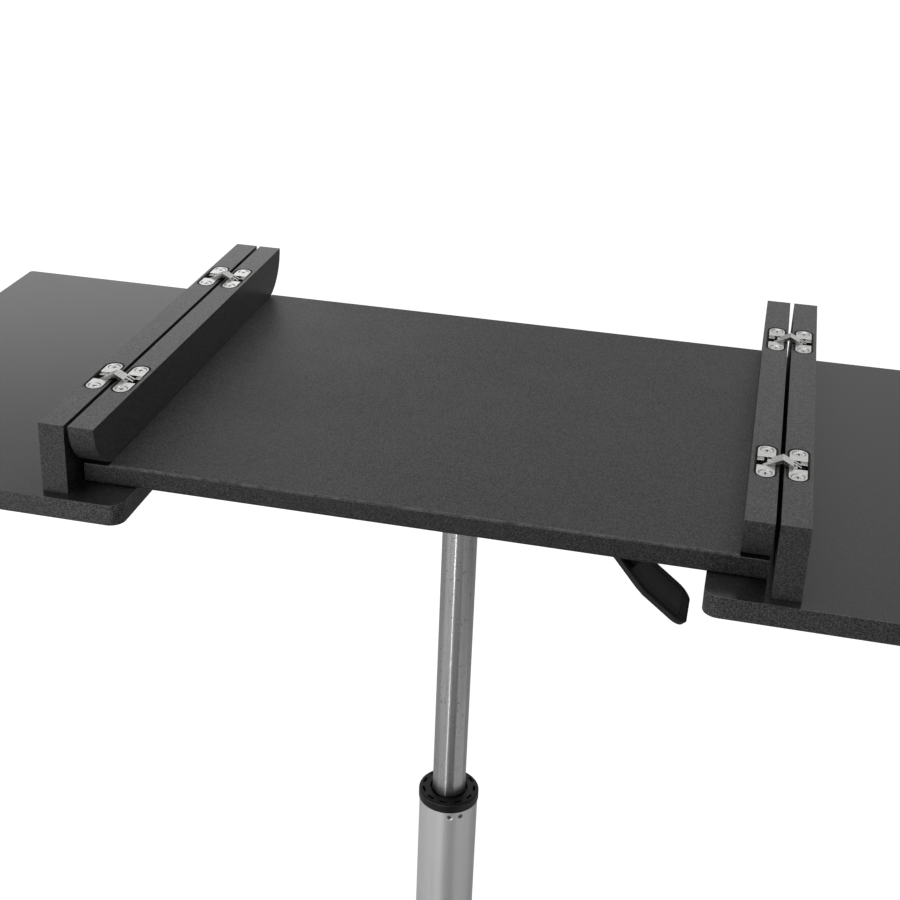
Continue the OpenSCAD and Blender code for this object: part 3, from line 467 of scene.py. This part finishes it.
def make_rail_finish():
    gap_shade_from, gap_shade_to, mortise_r, mortise_depth = 0.0018, 0.0013, 0.0018, 0.0024
    material, tree, shader = new_finish("rail_laminate", 0.35)
    sawn = ramp(tree, calc(tree, "ABSOLUTE", facing(tree)["Y"]), 0.3, 0.8)
    grain = add_group(tree, speckle_group, Ground=grey(0.006, 0.0005), Speck=grey(0.26),
                      Scale=1600.0, Share=0.6)
    outside = add_group(tree, hinge_place_group)["Outside"]
    # Painted shadow round each hinge cup, where the mortise gap falls in shade: near black, and fully
    # rough so that it shows no reflection.
    mortise_gap_shade = ramp(tree, outside, gap_shade_from, gap_shade_to)
    # Painted highlight along the upper arrises.
    tree.links.new(paint_arris_highlights(tree, grain["Color"], 0.5), shader.inputs["Base Color"])
    darken(tree, shader, ramp(tree, sawn, 0.0, 1.0, 0.0, 0.25), grey(0.004))
    darken(tree, shader, mortise_gap_shade, grey(0.001))
    rough = calc(tree, "MAXIMUM", ramp(tree, sawn, 0.0, 1.0, 0.3, 0.55), mortise_gap_shade)
    tree.links.new(rough, shader.inputs["Roughness"])
    add_bump(tree, shader, grain["Height"], 0.12, 0.0002)
    add_relief(tree, shader, ramp(tree, outside, 0.0, mortise_r), mortise_depth)
    return material


rail_finish = make_rail_finish()
for side in ("left", "right"):
    dress(eased_copy(f"inner_rail_{side}", f"inner_rail_bar_{side}", 0.0004), rail_finish,
          f"inner_rail_{side}", "top")
    dress(eased_copy(f"outer_rail_{side}", f"outer_rail_bar_{side}", 0.0004), rail_finish,
          f"outer_rail_{side}", f"wing_{side}")


# Concealed hinges. Die-cast cups let into the rail tops, pins through their cheeks and a pack of
# stamped link plates over the gap, all in bright nickel plate, with painted shade below the rail
# top, on the plates' sides, on faces that look left and in a ring round each screw.
def build_plating_group():
    """Bright plate with cloudy tarnish."""
    tree, ins, outs = new_group(
        "plated_metal", {"Tone": grey(0.7, -0.01), "Tarnish": grey(0.5, -0.01), "Scale": 300.0},
        ("Color", "Height"))
    cloud = noise(tree, place_coords(tree), ins["Scale"], 4.0)
    tree.links.new(mix_color(tree, ramp(tree, cloud, 0.35, 0.7), ins["Tone"], ins["Tarnish"]),
                   outs["Color"])
    tree.links.new(cloud, outs["Height"])
    return tree


plating_group = build_plating_group()


def make_plated_finish(name, tone, tarnish, low, high):
    material, tree, shader = new_finish(name, low, metallic=1.0)
    plate = add_group(tree, plating_group, Tone=tone, Tarnish=tarnish, Scale=420.0)
    tree.links.new(plate["Color"], shader.inputs["Base Color"])
    add_marks(tree, shader, low, high, 160.0)
    add_bump(tree, shader, plate["Height"], 0.07, 0.0001)
    return material


def make_nickel_finish(name, unshaded_depth, shaded_depth, side_shade_tone, left_shade_tone):
    """Nickel with painted shade below a depth, on the sides of plates, on faces that look left and in a
    ring round each screw.
    """
    shade_ring_in, shade_ring_out = (0.0036, 0.004), (0.0049, 0.0044)
    material = make_plated_finish(name, grey(0.86, -0.02), grey(0.72, -0.015), 0.2, 0.3)
    tree = material.node_tree
    shader = tree.nodes["Principled BSDF"]
    rail_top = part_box("inner_rail_left")[1][2]
    height = axes(tree, place_coords(tree))["Z"]
    # Painted shade below the rail top, in the mortises and the screws' recesses.
    darken(tree, shader, ramp(tree, height, rail_top - unshaded_depth, rail_top - shaded_depth),
           grey(0.03, -0.001))
    normal = facing(tree)
    # Painted shade on the plates' sides, which face along Y.
    darken(tree, shader, ramp(tree, calc(tree, "ABSOLUTE", normal["Y"]), 0.6, 0.9),
           grey(side_shade_tone, -0.01))
    # Painted shade on faces that look left.
    darken(tree, shader, ramp(tree, normal["X"], -0.15, -0.4), grey(left_shade_tone, -0.01))
    # Painted shade in a ring round each screw head, where its gap falls.
    screw = add_group(tree, hinge_place_group)["Screw"]
    screw_gap_shade = calc(tree, "MULTIPLY", ramp(tree, screw, *shade_ring_in), ramp(tree, screw, *shade_ring_out))
    darken(tree, shader, calc(tree, "MULTIPLY", screw_gap_shade, 0.6), grey(0.1, -0.002))
    return material


cup_finish = make_nickel_finish("cup_nickel", 0.0014, 0.0019, side_shade_tone=0.5, left_shade_tone=0.6)
link_finish = make_nickel_finish("link_nickel", 0.0026, 0.0036, side_shade_tone=0.3, left_shade_tone=0.42)
screw_finish = make_nickel_finish("screw_nickel", 0.0006, 0.001, side_shade_tone=0.5, left_shade_tone=0.6)
for side in ("left", "right"):
    bodies = {"inner": "top", "outer": f"wing_{side}"}
    for rank, body in bodies.items():
        dress(eased_copy(f"{rank}_hinge_cups_{side}", f"{rank}_cups_{side}", 0.0003), cup_finish,
              f"{rank}_hinge_cups_{side}", body)
    dress(eased_copy(f"hinge_links_{side}", f"link_pack_{side}", 0.0002), link_finish,
          f"hinge_links_{side}", f"links_{side}")
    for rank, body in bodies.items():
        dress(eased_copy(f"{rank}_hinge_pins_{side}", f"{rank}_pins_{side}", 0.00012), screw_finish,
              f"{rank}_hinge_pins_{side}", body)


# Board screws and the rod's clip. Countersunk zinc-plated screws from below hold each rail to its
# board, pan heads hold the bracket, and a pressed clip keeps the piston rod in the hub.
def finish_node(node, material):
    """Gives a CAD piece that keeps its own shape its finish."""
    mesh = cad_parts[node].data
    mesh.materials.clear()
    mesh.materials.append(material)


zinc_finish = make_plated_finish("zinc_plate", grey(0.55, 0.01), grey(0.4, 0.01), 0.3, 0.45)
for node in ("inner_rail_screws", "outer_rail_screws_left", "outer_rail_screws_right",
             "bracket_screws", "rod_clip"):
    finish_node(node, zinc_finish)


# Lift bracket. A pressed plate, a lever box and a socket, welded up and powder coated black. It is
# screwed under the centre board, and the gas cylinder is held in its socket.
def make_coat_finish(name, tone, scale, depth, roughness, shine=0.5):
    fleck_gain, duller, glossier = 1.6, 0.08, 0.06
    material, tree, shader = new_finish(name, roughness)
    shader.inputs["Specular IOR Level"].default_value = shine
    fleck = tuple(part * fleck_gain for part in tone[:3]) + (1,)
    grain = add_group(tree, speckle_group, Ground=tone, Speck=fleck, Scale=scale, Share=0.6)
    tree.links.new(grain["Color"], shader.inputs["Base Color"])
    add_marks(tree, shader, roughness - glossier, roughness + duller, 22.0)
    add_bump(tree, shader, grain["Height"], 0.4, depth)
    return material


powder_finish = make_coat_finish("black_powder_coat", grey(0.01, 0.0005), 700.0, 0.0002, 0.42)
dress(eased_copy("lift_bracket", "lift_bracket_weldment", 0.0005), powder_finish,
      "lift_bracket", "top")


# Release lever. A bent steel rod that pivots in the lever box, with a thin moulded paddle pushed on
# its end. The paddle is dished like a spoon and its fine grip grooves follow the outline.
def make_grip_finish():
    """A relief that rises to both sides draws the dish; painted light lifts its far side towards the
    tip, and a painted highlight lines the faces that look to the front.
    """
    dish_r, near_share, root_in, root_out = 0.06, 0.012, 0.06, 0.035
    near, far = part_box("lever_paddle")
    middle_y = (near[1] + far[1]) / 2
    material = make_coat_finish("lever_grip_plastic", grey(0.002, 0.0001), 1500.0, 0.0001, 0.4,
                                shine=0.05)
    tree = material.node_tree
    shader = tree.nodes["Principled BSDF"]
    place = axes(tree, place_coords(tree))
    side = calc(tree, "SUBTRACT", place["Y"], middle_y)
    add_relief(tree, shader, calc(tree, "MULTIPLY", side, side), 1 / (2 * dish_r))
    # Painted light: the far side of the dish is lighter towards the tip.
    painted_light_far = calc(tree, "MULTIPLY", ramp(tree, place["Y"], middle_y - near_share, far[1]),
                  ramp(tree, place["X"], far[0] - root_in, far[0] - root_out))
    darken(tree, shader, painted_light_far, grey(0.25, 0.002))
    # Painted highlight on the faces that look to the front.
    darken(tree, shader, ramp(tree, facing(tree)["Y"], -0.2, -0.6), grey(0.05, 0.001))
    return material


rod_finish = make_coat_finish("lever_rod_paint", grey(0.006), 400.0, 0.00005, 0.3, shine=0.3)
dress(eased_copy("lever_paddle", "lever_grip", 0.0004), make_grip_finish(),
      "lever_paddle", "lever")
dress(eased_copy("lever_rod", "lever_bar", 0.0004), rod_finish, "lever_rod", "lever")


# Gas lift. A ground steel cylinder slides in a guide cap on a grey painted outer tube; the cylinder is
# darker just above the cap, and two punched dents below the cap have painted shade in them. The rod is
# drawn steel, the button turned brass.
def build_drawn_group():
    """Fine lines along Z, as drawing and grinding leave them."""
    tree, ins, outs = new_group(
        "drawn_lines", {"Tone": grey(0.4), "Streak": grey(0.3), "Across": 900.0, "Along": 9.0},
        ("Color", "Height"))
    stretch = tree.nodes.new("ShaderNodeCombineXYZ")
    for axis, source in (("X", "Across"), ("Y", "Across"), ("Z", "Along")):
        tree.links.new(ins[source], stretch.inputs[axis])
    scaled = tree.nodes.new("ShaderNodeVectorMath")
    scaled.operation = "MULTIPLY"
    tree.links.new(place_coords(tree), scaled.inputs[0])
    tree.links.new(stretch.outputs[0], scaled.inputs[1])
    lines = noise(tree, scaled.outputs[0], 1.0, 4.0)
    tree.links.new(mix_color(tree, ramp(tree, lines, 0.3, 0.75), ins["Tone"], ins["Streak"]),
                   outs["Color"])
    tree.links.new(lines, outs["Height"])
    return tree


drawn_group = build_drawn_group()


def make_drawn_finish(name, tone, streak, low, high, metallic=1.0, line_depth=0.1):
    material, tree, shader = new_finish(name, low, metallic=metallic)
    lines = add_group(tree, drawn_group, Tone=tone, Streak=streak, Across=900.0, Along=9.0)
    tree.links.new(lines["Color"], shader.inputs["Base Color"])
    add_marks(tree, shader, low, high, 60.0)
    add_bump(tree, shader, lines["Height"], line_depth, 0.0001)
    return material


def smear_along(material, amount):
    """Grinding lines round the piece draw its highlights out along its length."""
    quarter_turn = 0.25
    shader = material.node_tree.nodes["Principled BSDF"]
    shader.inputs["Anisotropic"].default_value = amount
    shader.inputs["Anisotropic Rotation"].default_value = quarter_turn


def add_pits(material, scale, share):
    """Small dark pits and dried specks of oil."""
    soft_edge = 0.04
    tree = material.node_tree
    pits = ramp(tree, noise(tree, place_coords(tree), scale, 1.0), share, share + soft_edge)
    darken(tree, tree.nodes["Principled BSDF"], pits, grey(0.05))


def darken_above_cap(material, reach):
    """Darker over a short reach just above the cap's top."""
    tree = material.node_tree
    cap_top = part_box("guide_cap")[1][2]
    height = axes(tree, place_coords(tree))["Z"]
    darken(tree, tree.nodes["Principled BSDF"], ramp(tree, height, cap_top + reach, cap_top),
           grey(0.1))


def add_punch_marks(material):
    """Two punched dents under the guide cap that keep it in the tube, with painted shade in them."""
    tube_r, mark_z, dent_in, dent_out, dent_depth = 0.024, 0.487, 0.0006, 0.0028, 0.0012
    tree = material.node_tree
    shader = tree.nodes["Principled BSDF"]
    reaches = []
    for angle in (-75.3, -53.3):
        turn = math.radians(angle)
        reach = tree.nodes.new("ShaderNodeVectorMath")
        reach.operation = "DISTANCE"
        reach.inputs[1].default_value = (tube_r * math.cos(turn), tube_r * math.sin(turn), mark_z)
        tree.links.new(place_coords(tree), reach.inputs[0])
        reaches.append(reach.outputs["Value"])
    nearest = calc(tree, "MINIMUM", *reaches)
    add_relief(tree, shader, ramp(tree, nearest, dent_in, dent_out), dent_depth)
    # Painted shade in the hollow of each dent.
    darken(tree, shader, ramp(tree, nearest, 0.0022, 0.0014), grey(0.12))


cylinder_finish = make_drawn_finish("ground_steel_cylinder", grey(0.64), grey(0.52), 0.24, 0.28,
                                    line_depth=0.012)
smear_along(cylinder_finish, 1.0)
add_pits(cylinder_finish, 650.0, 0.7)
darken_above_cap(cylinder_finish, 0.01)
dress(eased_copy("gas_cylinder", "ground_cylinder", 0.0003), cylinder_finish,
      "gas_cylinder", "top")
steel_finish = make_drawn_finish("bright_drawn_steel", grey(0.62), grey(0.5), 0.2, 0.3)
for node in ("piston_rod", "thrust_washer", "lever_pin"):
    finish_node(node, steel_finish)
finish_node("release_button",
            make_plated_finish("turned_brass", (0.78, 0.58, 0.27, 1), (0.6, 0.42, 0.18, 1), 0.25, 0.38))
tube_finish = make_drawn_finish("satin_grey_tube", grey(0.88, 0.01), grey(0.83, 0.01), 0.38, 0.42,
                                metallic=0.6, line_depth=0.02)
smear_along(tube_finish, 0.6)
add_punch_marks(tube_finish)
dress(eased_copy("outer_tube", "grey_outer_tube", 0.0003), tube_finish,
      "outer_tube", "base")
plastic_finish = make_coat_finish("grained_black_plastic", grey(0.01, 0.0005), 1500.0, 0.0001, 0.36,
                                  shine=0.3)
dress(eased_copy("guide_cap", "slotted_guide_cap", 0.0003), plastic_finish,
      "guide_cap", "base")


# Base. Four square tube arms welded to a turned hub, powder coated black, closed with moulded end
# plugs; the outer tube is pressed into the hub.
dress(eased_copy("base_hub", "hub_turning", 0.001, steps=3), powder_finish,
      "base_hub", "base")
for number in range(1, 5):
    dress(eased_copy(f"base_arm_{number}", f"arm_tube_{number}", 0.0015, steps=3), powder_finish,
          f"base_arm_{number}", "base")
dress(eased_copy("arm_plugs", "arm_end_plugs", 0.001), plastic_finish,
      "arm_plugs", "base")


# Casters. A steel stem in the arm's sleeve, a moulded hood over twin wheels on a steel axle, and a
# foot brake whose trunnions snap into the hood's ears. The treads are firm dark rubber.
tread_finish = make_coat_finish("caster_tread", grey(0.028, 0.001), 900.0, 0.0002, 0.55)
for number in range(1, 5):
    finish_node(f"caster_stem_{number}", steel_finish)
    finish_node(f"caster_axle_{number}", steel_finish)
    dress(eased_copy(f"caster_hood_{number}", f"hood_moulding_{number}", 0.0005), plastic_finish,
          f"caster_hood_{number}", f"caster_{number}")
    dress(eased_copy(f"caster_wheels_{number}", f"twin_wheels_{number}", 0.0004), tread_finish,
          f"caster_wheels_{number}", f"wheels_{number}")
    dress(eased_copy(f"caster_brake_{number}", f"brake_pedal_{number}", 0.0005), plastic_finish,
          f"caster_brake_{number}", f"brake_{number}")
